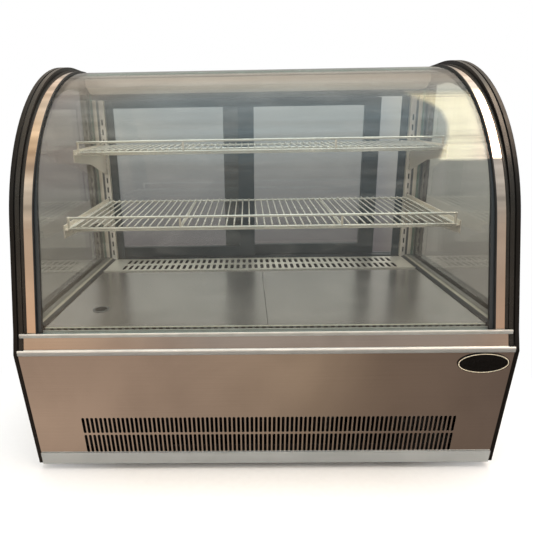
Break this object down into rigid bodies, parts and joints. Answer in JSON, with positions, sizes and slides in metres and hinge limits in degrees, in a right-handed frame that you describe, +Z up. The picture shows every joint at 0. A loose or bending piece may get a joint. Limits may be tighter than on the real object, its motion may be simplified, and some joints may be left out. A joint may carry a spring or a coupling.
{
  "type": "glass display showcase",
  "caption": "Countertop chilled display case: curved glass front, glass sides, wire shelves, rear sliding doors and a louvred machine base.",
  "frame": {"origin": "on the counter, centred under the case", "axes": "+X to the right seen from the customer's side, +Y to the rear service side, +Z up"},
  "size_m": [0.9, 0.58, 0.8],
  "materials": {
    "black_moulding": "black moulded plastic, satin gloss",
    "painted_sheet": "black powder coat",
    "clear_glass": "clear toughened glass",
    "polished_steel": "mirror-polished stainless steel",
    "bright_aluminium": "bright anodised extrusion",
    "rail_steel": "fine brushed",
    "black_rubber": "matt",
    "shelf_wire": "bright chrome plating",
    "post_steel": "fine brushed",
    "door_plastic": "dark blue-grey moulding",
    "lamp_body": "satin white",
    "lamp_lens": "frosted diffuser",
    "tub_plastic": "white liner over foam",
    "fin_aluminium": "mill finish fins",
    "zinc_sheet": "galvanised",
    "fan_plastic": "black moulding",
    "compressor_paint": "gloss black enamel",
    "copper_tube": "drawn copper",
    "control_plastic": "black moulding",
    "nameplate_plate": "gloss black with a thin gilt rim"
  },
  "bodies": {
    "root": {"end_cap_left": "black_moulding", "end_cap_right": "black_moulding", "side_panel_left": "painted_sheet", "side_panel_right": "painted_sheet", "rear_panel": "painted_sheet", "side_glass_left": "clear_glass", "side_glass_right": "clear_glass", "front_glass": "clear_glass", "front_panel": "polished_steel", "front_band": "polished_steel", "mirror_strip_left": "polished_steel", "mirror_strip_right": "polished_steel", "deck_plate_left": "polished_steel", "deck_plate_right": "polished_steel", "rear_air_grille": "polished_steel", "front_air_strip": "polished_steel", "roof_panel": "polished_steel", "drain_strainer": "polished_steel", "sill_channel": "bright_aluminium", "knee_trim": "bright_aluminium", "bottom_rail": "rail_steel", "glass_seal_left": "black_rubber", "glass_seal_right": "black_rubber", "sill_seal_left": "black_rubber", "sill_seal_right": "black_rubber", "rubber_feet": "black_rubber", "shelf_lower": "shelf_wire", "shelf_upper": "shelf_wire", "corner_post_left": "post_steel", "corner_post_right": "post_steel", "shelf_bracket_lower_left": "post_steel", "shelf_bracket_lower_right": "post_steel", "shelf_bracket_upper_left": "post_steel", "shelf_bracket_upper_right": "post_steel", "door_jamb_left": "door_plastic", "door_jamb_right": "door_plastic", "door_track": "door_plastic", "rear_header": "door_plastic", "light_housing": "lamp_body", "light_diffuser": "lamp_lens", "insulated_tank": "tub_plastic", "evaporator_coil": "fin_aluminium", "condenser_coil": "fin_aluminium", "base_pan": "zinc_sheet", "evaporator_fan_frame": "zinc_sheet", "condenser_fan_frame": "zinc_sheet", "compressor": "compressor_paint", "refrigerant_pipes": "copper_tube", "control_box": "control_plastic", "power_inlet": "control_plastic", "nameplate": "nameplate_plate"},
    "door_left": {"door_left_frame": "door_plastic", "door_left_glass": "clear_glass"},
    "door_right": {"door_right_frame": "door_plastic", "door_right_glass": "clear_glass"},
    "condenser_fan_rotor": {"condenser_fan": "fan_plastic"},
    "evaporator_fan_rotor": {"evaporator_fan": "fan_plastic"},
    "power_rocker": {"power_switch": "control_plastic"},
    "light_rocker": {"light_switch": "control_plastic"},
    "thermostat_dial": {"thermostat_knob": "control_plastic"}
  },
  "joints": [
    {"name": "door_left_slide", "type": "slide", "parent": "root", "child": "door_left", "axis": [1, 0, 0], "range_m": [0, 0.436]},
    {"name": "door_right_slide", "type": "slide", "parent": "root", "child": "door_right", "axis": [1, 0, 0], "range_m": [-0.338, 0.098]},
    {"name": "condenser_fan_spin", "type": "hinge", "parent": "root", "child": "condenser_fan_rotor", "pos_m": [-0.04, -0.098, 0.097], "axis": [0, 1, 0], "continuous": true},
    {"name": "evaporator_fan_spin", "type": "hinge", "parent": "root", "child": "evaporator_fan_rotor", "pos_m": [-0.04, -0.02, 0.252], "axis": [0, 1, 0], "continuous": true},
    {"name": "power_rocker_tip", "type": "hinge", "parent": "root", "child": "power_rocker", "pos_m": [0.275, 0.271, 0.245], "axis": [1, 0, 0], "range_deg": [0, 14]},
    {"name": "light_rocker_tip", "type": "hinge", "parent": "root", "child": "light_rocker", "pos_m": [0.309, 0.271, 0.245], "axis": [1, 0, 0], "range_deg": [0, 14]},
    {"name": "thermostat_turn", "type": "hinge", "parent": "root", "child": "thermostat_dial", "pos_m": [0.366, 0.272, 0.245], "axis": [0, 1, 0], "range_deg": [-140, 140]}
  ]
}
